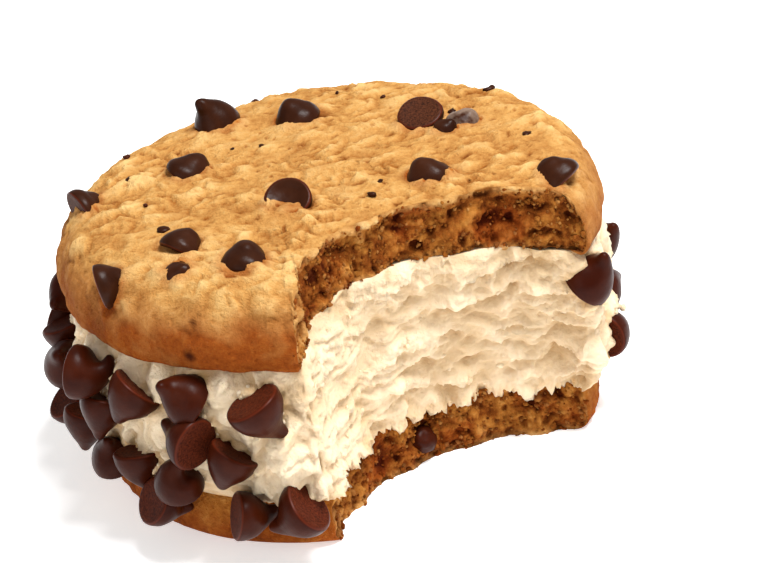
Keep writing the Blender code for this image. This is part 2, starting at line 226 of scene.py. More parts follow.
def make_piece(name, points, faces, material, marks=()):
    """Turns points in millimetres, groups of faces and one value a point for each mark into a piece."""
    mesh = bpy.data.meshes.new(name)
    mesh.vertices.add(len(points))
    mesh.vertices.foreach_set("co", (points * MM).astype(np.float32).ravel())
    corners = np.concatenate([group.ravel() for group in faces]).astype(np.int32)
    sizes = np.concatenate([np.full(len(group), group.shape[1]) for group in faces])
    mesh.loops.add(len(corners))
    mesh.loops.foreach_set("vertex_index", corners)
    mesh.polygons.add(len(sizes))
    starts = np.concatenate([[0], np.cumsum(sizes)[:-1]]).astype(np.int32)
    mesh.polygons.foreach_set("loop_start", starts)
    mesh.update(calc_edges=True)
    mesh.shade_smooth()
    for mark, values in dict(marks).items():
        attribute = mesh.attributes.new(mark, "FLOAT", "POINT")
        attribute.data.foreach_set("value", np.asarray(values, np.float32))
    piece = bpy.data.objects.new(name, mesh)
    bpy.context.scene.collection.objects.link(piece)
    mesh.materials.append(material)
    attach(piece, "root")
    return piece


def node(tree, kind, sockets=(), **settings):
    """Adds a shader node with its settings, and sets each socket to a value or links it to another's."""
    made = tree.nodes.new("ShaderNode" + kind)
    for name, value in settings.items():
        setattr(made, name, value)
    for key, value in dict(sockets).items():
        if isinstance(value, bpy.types.NodeSocket):
            tree.links.new(value, made.inputs[key])
        else:
            made.inputs[key].default_value = value
    return made


def mix(tree, share, first, second, kind="MIX"):
    """One colour laid over another."""
    colours = {6: first, 7: second}
    for key, value in colours.items():
        if not isinstance(value, bpy.types.NodeSocket):
            colours[key] = (*value, 1.0)
    return node(tree, "Mix", {0: share, **colours}, data_type="RGBA", blend_type=kind).outputs[2]


def sums(tree, operation, *values):
    return node(tree, "Math", dict(enumerate(values)), operation=operation).outputs[0]


def ramp(tree, value, *stops):
    """Colours spread over a value: each stop is a place and a colour."""
    made = node(tree, "ValToRGB", {"Fac": value})
    points = made.color_ramp.elements
    while len(points) < len(stops):
        points.new(0.5)
    for point, (place, colour) in zip(points, stops):
        point.position = place
        point.color = (*colour, 1.0)
    return made.outputs[0]


def speckle(tree, scale, detail=3.0, rough_share=0.55):
    """Noise fixed to the piece, with so many bumps to the metre."""
    place = node(tree, "TexCoord").outputs["Object"]
    sockets = {"Vector": place, "Scale": scale, "Detail": detail, "Roughness": rough_share}
    return node(tree, "TexNoise", sockets).outputs["Fac"]


def mark(tree, name):
    """A value that the mesh carries at each point."""
    return node(tree, "Attribute", attribute_name=name, attribute_type="GEOMETRY").outputs["Fac"]


def cookie_finish(name, golden):
    """Baked cookie dough. Crust runs from creases painted darker as shade to ridges painted golden and lighter, and
    turns orange-brown where it met the most heat, with painted shade in its pits;
    crumb is darker and duller, with wet patches, from holes painted dark brown as shade to pale torn edges."""
    material = bpy.data.materials.new(name)
    material.use_nodes = True
    tree = material.node_tree
    shader = tree.nodes["Principled BSDF"]
    relief_shade = mark(tree, "relief_shade")
    broad = speckle(tree, 110, 4.0)
    grain = speckle(tree, 1100, 5.0, 0.75)
    tone = sums(tree, "MULTIPLY_ADD", broad, 0.45, sums(tree, "MULTIPLY_ADD", grain, 0.70, -0.07))
    # Painted shade: the relief darkens the crust in its creases and lightens it on its ridges.
    tone = sums(tree, "MULTIPLY_ADD", relief_shade, 0.40, tone)
    crust = ramp(tree, tone, *golden)
    scorched = ramp(
        tree,
        tone,
        (0.15, (0.10, 0.017, 0.002)),
        (0.50, (0.30, 0.066, 0.008)),
        (0.85, (0.48, 0.150, 0.024)),
    )
    # The browning mark: orange-brown from the oven, and painted shade in the upper crust's pits.
    crust = mix(tree, mark(tree, "browning_and_pit_shade"), crust, scorched)
    torn = speckle(tree, 380, 6.0, 0.70)
    # Painted shade: the relief darkens the crumb in its holes and hollows.
    depth = sums(tree, "MULTIPLY_ADD", torn, 0.95, sums(tree, "MULTIPLY_ADD", relief_shade, 0.36, 0.0))
    crumb = ramp(
        tree,
        depth,
        (0.18, (0.070, 0.011, 0.001)),
        (0.38, (0.245, 0.066, 0.009)),
        (0.60, (0.44, 0.165, 0.028)),
        (0.86, (0.66, 0.33, 0.085)),
    )
    wet = ramp(tree, speckle(tree, 150, 3.0), (0.46, (1.0, 1.0, 1.0)), (0.62, (0.72, 0.42, 0.30)))
    crumb = mix(tree, 0.85, crumb, wet, "MULTIPLY")
    pale = ramp(tree, depth, (0.25, (0.42, 0.16, 0.035)), (0.60, (0.72, 0.40, 0.135)), (0.85, (0.86, 0.58, 0.26)))
    crumb = mix(tree, mark(tree, "skin"), crumb, pale)
    colour = mix(tree, mark(tree, "crumb"), crust, crumb)
    colour = mix(tree, mark(tree, "stain"), colour, (0.055, 0.010, 0.002))
    tree.links.new(colour, shader.inputs["Base Color"])
    shader.inputs["Roughness"].default_value = 0.85
    shader.inputs["Specular IOR Level"].default_value = 0.05
    pores = sums(tree, "MULTIPLY_ADD", speckle(tree, 2600, 3.0), 0.6, grain)
    bump = node(tree, "Bump", {"Height": pores, "Strength": 1.0, "Distance": 0.0006})
    tree.links.new(bump.outputs[0], shader.inputs["Normal"])
    return material


def crumb_relief(points):
    """Torn crumb: broad breaks, lumps a millimetre or two across, grains, and holes where air was baked in."""
    torn = 0.62 * rough(points / 5.0, 3) + 0.36 * puffs(points / 2.6 + 7.7, 2, 0.5)
    grains = 0.13 * puffs(points / 0.95 + 3.1, 2, 0.6)
    hole = ease(noise(points / 2.1 + 31.0), 0.22, 0.62)
    return torn + grains - 0.75 * hole


low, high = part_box("cookie_lower")
LOWER_TOP = high.z / MM
LOWER_RADIUS = (high.x - low.x) / 2 / MM
LOWER_MIDDLE = np.array([(high.x + low.x) / 2 / MM, high.y / MM - LOWER_RADIUS])
HUB = np.array([-10.0, 8.0])  # every layer's outline can be seen whole from here


def base_of_lower(plan):
    inset = inset_of(plan, LOWER_MIDDLE, LOWER_RADIUS, LOWER_LOBES)
    return LOWER_BASE_CORNER[1] * quarter(1 - inset / LOWER_BASE_CORNER[0])


def top_of_lower(plan):
    inset = inset_of(plan, LOWER_MIDDLE, LOWER_RADIUS, LOWER_LOBES)
    return LOWER_TOP - LOWER_TOP_CORNER[1] * quarter(1 - inset / LOWER_TOP_CORNER[0])


profile = resample(corner_path(LOWER_BASE_CORNER, LOWER_TOP_CORNER, 0.0, LOWER_TOP), 42)
outline = (LOWER_MIDDLE, LOWER_RADIUS, LOWER_LOBES, LOWER_BITE)
rows, horns = bitten_side(profile, *outline, (620, 480), base_of_lower, top_of_lower)
rings = [with_height(toward_hub(rows[0], share), 0.0) for share in (0.25, 0.5, 0.7, 0.85, 0.95, 0.985)]
inner = [with_height(toward_hub(rows[-1], share), LOWER_TOP) for share in (0.985, 0.94, 0.85, 0.6, 0.3)]
points, faces = closed_rings([*rings, *rows, *inner], [*HUB, 0.0], [*HUB, LOWER_TOP])
size = len(rows[0])
walled = slice(len(rings) * size, (len(rings) + len(rows)) * size)
crumb = np.zeros(len(points))
crumb[walled] = ease(-np.concatenate(horns), -0.1, 0.5)
plan = points[:, :2]
under_skin = np.minimum(points[:, 2] - base_of_lower(plan), inset_of(plan, *outline[:3]))
skin = np.exp(-(np.maximum(under_skin, 0) / 0.7) ** 2)
near_left = np.zeros(len(points))
near_left[walled] = ease(np.concatenate(horns), -13.0, -2.0) * (points[walled, 0] < BITE_CENTRE[0])
skin = crumb * np.maximum(skin, near_left * (0.5 + 0.6 * noise(points / 2.5 + 17.0)))
crust_bumps = 0.34 * rough(points / 8.0 + 3.3, 3) + 0.14 * puffs(points / 2.2, 3, 0.6)
torn = crumb_relief(points)
off_tray = ease(points[:, 2], 0.0, 1.6)
under_ice = 1 - ease(points[:, 2], LOWER_TOP - 0.6, LOWER_TOP) * 0.8
lift = ((1 - crumb) * crust_bumps + crumb * (torn - 0.25)) * under_ice
lift *= np.where(crumb > 0.5, 1.0, off_tray)
normal = normals_of(points, faces)
normal[:, 2] *= off_tray
points = points + normal * lift[:, None]
points[:, 2] = np.maximum(points[:, 2], 0.0)
# The relief that the colour follows, as painted shade: darker in the crust's hollows and the crumb's holes, lighter on
# lumps.
relief_shade = np.where(crumb > 0.5, torn, crust_bumps * 1.6)
browning_and_pit_shade = np.clip(1.05 - 0.60 * ease(points[:, 2], 1.5, 7.5) + 0.3 * rough(points / 6 + 50), 0, 1)
lower = make_piece(
    "lower_cookie_baked",
    points,
    faces,
    cookie_finish(
        "lower cookie crust",
        ((0.22, (0.28, 0.075, 0.009)), (0.50, (0.50, 0.185, 0.030)), (0.85, (0.68, 0.34, 0.085))),
    ),
    {"crumb": crumb, "relief_shade": relief_shade, "browning_and_pit_shade": browning_and_pit_shade, "skin": 0.6 * skin, "stain": np.zeros(len(points))},
)
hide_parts("cookie_lower")
lower_wall = (points[walled], normals_of(points, faces)[walled], crumb[walled])


# ---------------------------------------------------------------------------------------------------------
# Chocolate chips. Drops of dark chocolate that were let fall on a flat belt: a flat foot with a tight edge,
# full sides and a thin tip, bent or curled over. The oven has slumped those in the upper cookie into glossy
# domes, and the bite has cut two through. Each takes its place, size and melting from its own solid.

CHIP_FOOT = 3.5  # for a chip of size 1
CHIP_BELLY = 4.0
CHIP_EDGE = 0.5
CHIP_LENGTH = 8.4
CHIP_NIB = 0.58
CHIP_FULLNESS = 1.25
CHIP_BEND_FROM = 4.0
CHIP_BEND = 1.6
CHIP_SIDES = 30
MELTED_LENGTH = 4.9
MELTED_NIB = 2.7
SOLID_TIP = (8.2, 5.0)  # the height of the solid's tip, whole and melted


def chip_place(name):
    """A chip's foot, axes, size and share melted from its solid. The foot is the solid's largest flat face
    and looks away from the tip, and the way from the axis to the tip is the way it falls over."""
    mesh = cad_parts[name].data
    spots = np.empty(len(mesh.vertices) * 3, np.float32)
    mesh.vertices.foreach_get("co", spots)
    spots = spots.reshape(-1, 3).astype(float) / MM
    mesh.calc_loop_triangles()
    corners = np.empty(len(mesh.loop_triangles) * 3, np.int32)
    mesh.loop_triangles.foreach_get("vertices", corners)
    corners = spots[corners.reshape(-1, 3)]
    area = np.cross(corners[:, 1] - corners[:, 0], corners[:, 2] - corners[:, 0])
    size = np.linalg.norm(area, axis=1)
    flat = area / size[:, None]
    alike = (flat @ flat.T > 0.9995) @ size
    best = int(np.argmax(alike))
    foot_faces = corners[flat @ flat[best] > 0.9995].reshape(-1, 3)
    up = -flat[best]
    foot = (foot_faces.min(0) + foot_faces.max(0)) / 2
    for _ in range(3):
        reach = np.linalg.norm(foot_faces - foot, axis=1)
        foot = foot_faces[reach > 0.6 * reach.max()].mean(0)
    scale = np.linalg.norm(foot_faces - foot, axis=1).max() / CHIP_FOOT
    tip = spots[np.argmax(spots @ up)] - foot
    melted = np.clip((SOLID_TIP[0] - tip @ up / scale) / (SOLID_TIP[0] - SOLID_TIP[1]), 0, 1)
    fall = tip - up * (tip @ up)
    fall /= np.linalg.norm(fall)
    return foot, np.stack([fall, np.cross(up, fall), up]), scale, melted


def chip_length(melted):
    return CHIP_LENGTH + melted * (MELTED_LENGTH - CHIP_LENGTH)


def chip_radius(height, melted):
    """The side eases in along half a cosine wave to a round-ended tip, thin when whole and blunt when melted."""
    share = np.clip((height - CHIP_EDGE) / (chip_length(melted) - CHIP_EDGE), 0, 1)
    nib = CHIP_NIB + melted * (MELTED_NIB - CHIP_NIB)
    belly = math.sqrt(CHIP_BELLY ** 2 - nib ** 2) * (1 + np.cos(math.pi * share ** CHIP_FULLNESS)) / 2
    return np.hypot(belly, nib * np.sqrt(1 - share ** (8 - 5 * melted)))


def chip_surface(place, chance, curl, dish=0.12, rows=26, sides=CHIP_SIDES):
    """One chip: rings of a slightly uneven circle, square to an axis that starts straight up from the foot
    and turns by the curl towards its tip. Also marks for the foot and for the thin edge round it."""
    foot, axes, scale, melted = place
    length = chip_length(melted)
    climb = np.sin(np.linspace(0, math.pi / 2, rows)) ** 0.9
    turn = np.linspace(0, math.pi / 2, 5)[:-1]
    edge = CHIP_FOOT + (CHIP_BELLY - CHIP_FOOT) * np.sin(turn)
    heights = CHIP_EDGE + (length - 0.02 - CHIP_EDGE) * climb
    radius = np.concatenate([[1.3, 2.5, 3.2], edge, chip_radius(heights, melted)])
    height = np.concatenate([[0.9 * dish, 0.55 * dish, 0.1 * dish], CHIP_EDGE * (1 - np.cos(turn)), heights])
    angle = np.linspace(0, 2 * math.pi, sides, endpoint=False)
    waves = chance.uniform(0, 2 * math.pi, 3)
    uneven = 1 + 0.030 * np.cos(2 * angle + waves[0]) + 0.016 * np.cos(3 * angle + waves[1])
    steps = np.linspace(0, 1, 400)
    lean = curl * steps ** 3
    along = np.stack([np.cumsum(np.sin(lean)), np.cumsum(np.cos(lean))], 1) * length / 400
    spot = np.clip(height / length, 0, 1)
    tilt = curl * spot ** 3
    forward = np.interp(spot, steps, along[:, 0])
    upward = np.where(height < CHIP_EDGE, height, np.interp(spot, steps, along[:, 1]))
    sway = chance.uniform(-0.6, 0.6) * spot ** 3
    reach = radius[:, None] * uneven
    rings = np.stack(
        [
            forward[:, None] + reach * np.cos(angle) * np.cos(tilt)[:, None],
            sway[:, None] + reach * np.sin(angle),
            upward[:, None] - reach * np.cos(angle) * np.sin(tilt)[:, None],
        ],
        -1,
    )
    end = [forward[-1] + 0.05 * math.sin(tilt[-1]), sway[-1], upward[-1] + 0.05 * math.cos(tilt[-1])]
    points, faces = closed_rings(rings, [0.0, 0.0, dish], end)
    slump = 0.04 + 0.12 * melted
    points += slump * normals_of(points, faces) * rough(points / 2.6 + waves[2] * 9, 2)[:, None] * (points[:, 2:] > 0.3)
    row = np.repeat(np.arange(len(rings)), sides)
    foot_mark = np.append(row < 4, [True, False]) * (dish < 0.5)
    edge_mark = np.append(0.6 * (row == 4) + 1.0 * (row == 5), [0, 0])
    return foot + points * scale @ axes, faces, foot_mark.astype(float), edge_mark.astype(float)


def chocolate_finish(name, deep, light, gloss):
    """Dark chocolate with a satin skin. The foot is duller and dusted where it lay on the belt, the thin edge
    round it lets light through and looks redder, and a bloomed chip is clouded with grey."""
    material = bpy.data.materials.new(name)
    material.use_nodes = True
    tree = material.node_tree
    shader = tree.nodes["Principled BSDF"]
    cloud = ramp(tree, speckle(tree, 260, 4.0), (0.3, deep), (0.75, light))
    dust = speckle(tree, 3200, 2.0, 0.7)
    foot = ramp(tree, dust, (0.35, deep), (0.72, tuple(2.2 * part for part in light)))
    colour = mix(tree, mark(tree, "foot"), cloud, foot)
    colour = mix(tree, mark(tree, "edge"), colour, (0.085, 0.013, 0.004))
    clouded = sums(tree, "MULTIPLY", mark(tree, "bloom"), ramp(tree, speckle(tree, 420, 4.0), (0.35, (0, 0, 0)), (0.6, (1, 1, 1))))
    colour = mix(tree, clouded, colour, (0.34, 0.24, 0.18))
    tree.links.new(colour, shader.inputs["Base Color"])
    shine = sums(tree, "MULTIPLY_ADD", mark(tree, "foot"), 0.25, gloss)
    shine = sums(tree, "MULTIPLY_ADD", speckle(tree, 500, 3.0), 0.16, shine)
    tree.links.new(shine, shader.inputs["Roughness"])
    shader.inputs["Specular IOR Level"].default_value = 0.08
    grain = sums(tree, "MULTIPLY_ADD", speckle(tree, 600, 3.0), 1.0, sums(tree, "MULTIPLY", dust, 0.2))
    bump = node(tree, "Bump", {"Height": grain, "Strength": 0.25, "Distance": 0.0003})
    tree.links.new(bump.outputs[0], shader.inputs["Normal"])
    return material


def set_chip(name, place, curl, material, dish=0.12, bloom=0.0):
    points, faces, foot_mark, edge_mark = chip_surface(place, chance, curl, dish)
    marks = {"foot": foot_mark, "edge": edge_mark, "bloom": np.full(len(points), bloom)}
    chip = make_piece(name, points, faces, material, marks)
    return chip


fresh_chocolate = chocolate_finish("dark chocolate", (0.028, 0.0036, 0.0008), (0.050, 0.0085, 0.0023), 0.28)
baked_chocolate = chocolate_finish("baked chocolate", (0.022, 0.0055, 0.0018), (0.046, 0.0130, 0.0048), 0.24)
chance = np.random.default_rng(7)
chip_names = sorted(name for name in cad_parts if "_chip_" in name and "bitten" not in name)
places = {name: chip_place(name) for name in chip_names}
CURLED = {"side_chip_05": 2.9, "side_chip_14": 2.2, "side_chip_15": 1.7, "side_chip_20": 1.8, "side_chip_21": 1.1}
DISHED = {"top_chip_07": 0.75, "top_chip_03": 0.2}
for name in chip_names:
    baked = name.startswith("top")
    curl = CURLED.get(name, chance.uniform(0.7, 1.5)) * (1 - 0.6 * places[name][3])
    finish = baked_chocolate if baked else fresh_chocolate
    bloom = 0.6 * (name == "top_chip_05")
    if baked and name != "top_chip_01":
        places[name] = (*places[name][:3], 0.45 + 0.55 * places[name][3])
    chip = set_chip("chocolate_" + name, places[name], curl, finish, DISHED.get(name, 0.12), bloom)
    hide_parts(name)

CUT_PROUD = 0.5  # how far a bitten chip stands out of its solid, past the torn crumb
for name, wall_way in {"bitten_chip_upper": (-0.10, -0.99), "bitten_chip_lower": (0.42, -0.91)}.items():
    # A chip cut through: a lumpy ball as wide as the solid, planed off flat just proud of the crumb
    low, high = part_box(name)
    middle = np.array(low + high) / 2 / MM
    half = np.array(high - low) / 2 / MM
    wall_way = np.array([*wall_way, 0.0])
    turn = np.linspace(-math.pi / 2, math.pi / 2, 20)[1:-1]
    angle = np.linspace(0, 2 * math.pi, 28, endpoint=False)
    ball = np.stack(
        [
            np.cos(turn)[:, None] * np.cos(angle),
            np.cos(turn)[:, None] * np.sin(angle),
            np.broadcast_to(np.sin(turn)[:, None], (len(turn), len(angle))),
        ],
        -1,
    )
    points, faces = closed_rings(ball, [0.0, 0.0, -1.0], [0.0, 0.0, 1.0])
    points = middle + points * half * np.array([1.1, 1.5, 1.0]) * (1 + 0.14 * rough(points * 1.4 + 5.0, 2))[:, None]
    proud = (points - middle) @ wall_way - half @ np.abs(wall_way) - CUT_PROUD
    points -= wall_way * np.maximum(proud, 0)[:, None] * 0.93
    no_mark = np.zeros(len(points))
    chip = make_piece("chocolate_" + name, points, faces, fresh_chocolate, {"foot": no_mark, "edge": no_mark, "bloom": no_mark})
    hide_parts(name)

# More chips round the back of the band, in the gaps between those that have solids
BACK_TRIES = 900
BACK_ROOM = 7.0
middles = np.array([foot + 3.2 * scale * axes[2] for foot, axes, scale, _ in places.values()])
extra_points = []
extra_faces = [[], []]
extra_marks = []
count = 0
for angle, height, stands, turn, lean, fall, scale in chance.uniform(
    (16, 11.5, 42.0, -180, -30, 0, 0.70), (166, 28.5, 42.8, 180, 50, 360, 0.86), (BACK_TRIES, 7)
):
    way = np.array([math.cos(math.radians(angle)), math.sin(math.radians(angle)), 0.0])
    middle = way * stands + np.array([0, 0, height])
    if np.linalg.norm(middles - middle, axis=1).min() < BACK_ROOM:
        continue
    across = np.cross([0, 0, 1.0], way)
    turn, lean, fall = np.radians([turn, lean, fall])
    up = math.cos(lean) * (math.cos(turn) * np.array([0, 0, 1.0]) + math.sin(turn) * across) + math.sin(lean) * way
    first = np.cross(up, across)
    first /= np.linalg.norm(first)
    fall = math.cos(fall) * first + math.sin(fall) * np.cross(up, first)
    place = (middle - 3.2 * scale * up, np.stack([fall, np.cross(up, fall), up]), scale, 0.0)
    places[f"further_chip_{len(extra_marks)}"] = place
    middles = np.vstack([middles, middle])
    points, faces, foot_mark, edge_mark = chip_surface(place, chance, chance.uniform(0.7, 1.6))
    extra_points.append(points)
    for group, part in zip(extra_faces, faces):
        group.append(part + count)
    extra_marks.append(np.stack([foot_mark, edge_mark, np.zeros(len(points))]))
    count += len(points)
points = np.vstack(extra_points)
faces = [np.vstack(group) for group in extra_faces]
further = make_piece(
    "chocolate_chips_further_round",
    points,
    faces,
    fresh_chocolate,
    dict(zip(("foot", "edge", "bloom"), np.concatenate(extra_marks, 1))),
)


# ---------------------------------------------------------------------------------------------------------
# Ice cream. A thick slab of churned vanilla, its side puffed, torn and smeared where it was pressed between
# the cookies, and broken into flakes and ledges where it was bitten. It fills up to both cookies.

ICE_BULGE = 0.9
ICE_WAVES = 1.0  # how far its lumps stand out
ICE_EDGE = 1.6
ICE_LOBES = ((3, 0.010, 215), (7, 0.006, 0), (11, 0.004, 5))
ICE_BITE_BELOW = (27.3, 15.5, (0.5, 0.0), 2.0)
ICE_BITE_ABOVE = (27.6, 9, (-0.1, -4.0), 2.5)
ICE_ROWS = 84
UPPER_LIFT = 5.5
UPPER_LIFT_POWER = 2.2
UPPER_LEAN = math.tan(math.radians(1.2))
UPPER_RIM_CORNER = (1.6, 2.7)
UPPER_SHOULDER = (9.0, 9.8)
UPPER_CROWN = 1.3
UPPER_LOBES = ((2, 0.005, 160), (3, 0.008, 60), (5, 0.006, 10))
UPPER_BITE = (27.6, 9, (-0.2, -3.8), 2.5)

low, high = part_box("cookie_upper")
UPPER_RADIUS = (high.x - low.x) / 2 / MM
UPPER_MIDDLE = np.array([(high.x + low.x) / 2 / MM, high.y / MM - UPPER_RADIUS])
UPPER_RIM = low.z / MM - UPPER_LEAN * low.x / MM
low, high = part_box("ice_cream")
ICE_RADIUS = (high.x - low.x) / 2 / MM - ICE_BULGE - ICE_WAVES
ICE_MIDDLE = np.array([(high.x + low.x) / 2 / MM, high.y / MM - ICE_RADIUS - ICE_BULGE - ICE_WAVES])


def under_upper(plan):
    """The height of the upper cookie's hollow underside."""
    reach = np.hypot(*(plan - UPPER_MIDDLE).T)
    share = np.minimum(1, reach / (UPPER_RADIUS - UPPER_RIM_CORNER[0]))
    return UPPER_RIM + UPPER_LIFT * (1 - share ** UPPER_LIFT_POWER) + UPPER_LEAN * plan[:, 0]


def near_chip(points, place):
    """Roughly how far each point is outside a chip's skin, negative inside."""
    foot, axes, scale, melted = place
    own = (points - foot) @ axes.T / scale
    height = own[:, 2]
    length = chip_length(melted)
    past = np.clip((height - CHIP_BEND_FROM) / (length - CHIP_BEND_FROM), 0, 1)
    across = np.hypot(own[:, 0] - CHIP_BEND * (1 - 0.7 * melted) * past ** 2, own[:, 1])
    beside = across - chip_radius(np.clip(height, 0, length), melted)
    beyond = np.maximum(-height, height - length)
    outside = np.hypot(np.maximum(beside, 0), np.maximum(beyond, 0))
    return scale * np.where(outside > 0, outside, np.maximum(beside, beyond))


def steps(value, sharpness=0.12):
    """A saw: it climbs at once at every whole number and slopes back down to the next."""
    part = value - np.floor(value)
    return ease(part, 0, sharpness) - part


def ice_cream_finish(name):
    """Vanilla ice cream: cream white on its ridges and painted warmer and darker in its hollows as shade, tinted ochre
    where crumb was smeared on, along the edges against each cookie and as painted shade round the chips, with a soft
    inner glow and the fine grain of ice crystals."""
    material = bpy.data.materials.new(name)
    material.use_nodes = True
    tree = material.node_tree
    shader = tree.nodes["Principled BSDF"]
    # Painted shade: the relief makes the hollows warmer and darker and the ridges lighter.
    tone = sums(tree, "MULTIPLY_ADD", mark(tree, "relief_shade"), 0.40, 0.52)
    tone = sums(tree, "MULTIPLY_ADD", sums(tree, "SUBTRACT", speckle(tree, 300, 4.0), 0.5), 0.30, tone)
    colour = ramp(
        tree,
        tone,
        (0.05, (0.46, 0.28, 0.120)),
        (0.42, (0.67, 0.485, 0.285)),
        (0.82, (0.86, 0.690, 0.475)),
    )
    smears = ramp(tree, speckle(tree, 240, 4.0), (0.38, (0, 0, 0)), (0.66, (1, 1, 1)))
    # The ochre tint is part smeared crumb and part painted shade round the chips.
    smear_and_shade_tint = sums(tree, "MULTIPLY", mark(tree, "smear_and_shade_tint"), sums(tree, "MULTIPLY_ADD", smears, 0.7, 0.3))
    colour = mix(tree, smear_and_shade_tint, colour, (0.70, 0.40, 0.14))
    tree.links.new(colour, shader.inputs["Base Color"])
    shader.inputs["Roughness"].default_value = 0.5
    shader.inputs["Specular IOR Level"].default_value = 0.25
    shader.inputs["Subsurface Weight"].default_value = 0.12
    shader.inputs["Subsurface Radius"].default_value = (1.0, 0.65, 0.35)
    shader.inputs["Subsurface Scale"].default_value = 0.0012
    crystals = sums(tree, "MULTIPLY_ADD", speckle(tree, 2600, 3.0), 0.5, speckle(tree, 900, 4.0))
    bump = node(tree, "Bump", {"Height": crystals, "Strength": 0.75, "Distance": 0.0006})
    tree.links.new(bump.outputs[0], shader.inputs["Normal"])
    return material


rows = []
horns = []
for share in np.linspace(0, 1, ICE_ROWS + 1):
    off = ICE_BULGE * math.sin(math.pi * share) - ICE_EDGE * abs(2 * share - 1) ** 9
    bite = (
        np.array(below) + share * (np.array(above) - np.array(below))
        for below, above in zip(ICE_BITE_BELOW, ICE_BITE_ABOVE)
    )
    plan, to_horn = bitten_row(ICE_MIDDLE, ICE_RADIUS + off, ICE_LOBES, tuple(bite), 640, 440)
    bottom = LOWER_TOP + 0.1 - 0.9 * ease(to_horn, -HORN_REACH, 0)
    rows.append(with_height(plan, bottom + share * (under_upper(plan) + 0.25 - bottom)))
    horns.append(to_horn)
rings = [with_height(toward_hub(rows[0], share), LOWER_TOP + 0.1) for share in (0.45, 0.8, 0.95)]
inner = [toward_hub(rows[-1], share) for share in (0.95, 0.85, 0.5, 0.25)]
inner = [with_height(plan, under_upper(plan) - 0.1) for plan in inner]
hub_roof = under_upper(HUB[None])[0] - 0.1
points, faces = closed_rings([*rings, *rows, *inner], [*HUB, LOWER_TOP + 0.1], [*HUB, hub_roof])
size = len(rows[0])
walled = slice(len(rings) * size, (len(rings) + len(rows)) * size)
to_horn = np.zeros(len(points))
to_horn[walled] = np.concatenate(horns)
rise = np.zeros(len(points))
rise[walled] = np.repeat(np.linspace(0, 1, ICE_ROWS + 1), size)
shown = ease(rise, 0.0, 0.03) * (1 - ease(rise, 0.97, 1.0))
on_side = ease(to_horn, -1.6, 0.3)

drift = np.stack([noise(points / 5.0 + 60.0), noise(points / 5.0 + 90.0), noise(points / 5.0 + 30.0)], -1)
warped = points + 1.5 * drift
smeared = 1 - ease(points[:, 2] + 1.2 * noise(points / 7.0 + 4.0), 10.8, 14.0)
clouds = 1.05 * puffs(warped / 7.0 + 2.0, 1) + 0.50 * puffs(warped / 3.0 + 8.0, 2, 0.4) + 0.05 * puffs(points / 0.9, 1)
torn = 2.1 * noise(warped / np.array([9.0, 9.0, 6.5]) + 40.0) + 0.10 * rough(points / 1.5 + 9.0, 2)
tears = 1.0 * steps(torn) * ease(noise(points / 9.0 + 14.0), -0.5, 0.2)
streaks = 0.34 * rough(points / np.array([9.0, 9.0, 1.3]), 3) + 0.12 * puffs(points / 1.3 + 3.0, 2)
side_lift = (clouds + tears) * (1 - 0.75 * smeared) + streaks * smeared
left = points[:, 0] < BITE_CENTRE[0]
flap = ease(11.0 - to_horn + 2.2 * rough(points / 3.0 + 77.0, 3), 0.0, 0.8) * left * (to_horn > 0)
flap *= ease(points[:, 2] + 0.9 * noise(points / 1.7), 10.2, 11.2) * (1 - ease(points[:, 2], 18.0, 22.0))
side_lift += flap * (1.3 + 0.5 * puffs(points / 2.4 + 3.0, 2))

flaky = ease(noise(points / np.array([8.0, 8.0, 5.0]) + 36.0), -0.5, 0.5)
ledges = noise(warped / np.array([9.0, 9.0, 3.0]) + 5.0)
shreds = 1 - 2 * np.abs(noise(warped / np.array([6.0, 6.0, 2.1]) + 71.0))
slivers = 1 - 2 * np.abs(noise(warped / np.array([2.6, 2.6, 1.1]) + 55.0))
bite_lift = 0.50 * rough(points / 8.0 + 9.0, 2) + 0.95 * ledges + 0.60 * shreds
bite_lift += (0.16 + 0.28 * flaky) * slivers
bite_lift += (0.12 + 0.18 * flaky) * rough(points / np.array([1.3, 1.3, 0.8]) + 4.0, 2) + 0.1
hem = (1 - on_side) * np.exp(-(rise / 0.05) ** 2) * np.clip(0.35 + 0.9 * rough(points / 2.2 + 12.0, 3, 0.7), 0, 1)
bite_lift += 0.7 * hem
lift = on_side * side_lift + (1 - on_side) * bite_lift

side_chips = [place for name, place in places.items() if not name.startswith("top")]
gap = np.min([near_chip(points, place) for place in side_chips], axis=0)
fringe = np.exp(-((gap - 0.25) / 0.65) ** 2) * (0.30 + 0.9 * noise(points / 1.3 + 13.0) + 0.5 * noise(points / 3.1))
lift = (lift + on_side * fringe) * shown
lift[walled] = np.where(rise[walled] < 0.03, lift[walled] + 0.8 * hem[walled], lift[walled])
normal = normals_of(points, faces)
points = points + normal * lift[:, None]
points[:, 2] -= 1.3 * hem + shown * (on_side * 0.45 * side_lift + (1 - on_side) * 0.75 * bite_lift)
# The relief paints shade: hollows darker, the bitten face painted lighter at its left end and darker towards +X for the
# way the light falls, and a painted shadow round each chip.
relief_shade = on_side * (side_lift - 0.4 * flap) + (1 - on_side) * (bite_lift - 0.45 - 0.012 * points[:, 0])
relief_shade = np.clip(relief_shade, -1.2, 1.2) - 0.5 * np.exp(-(np.maximum(gap, 0) / 0.7) ** 2)
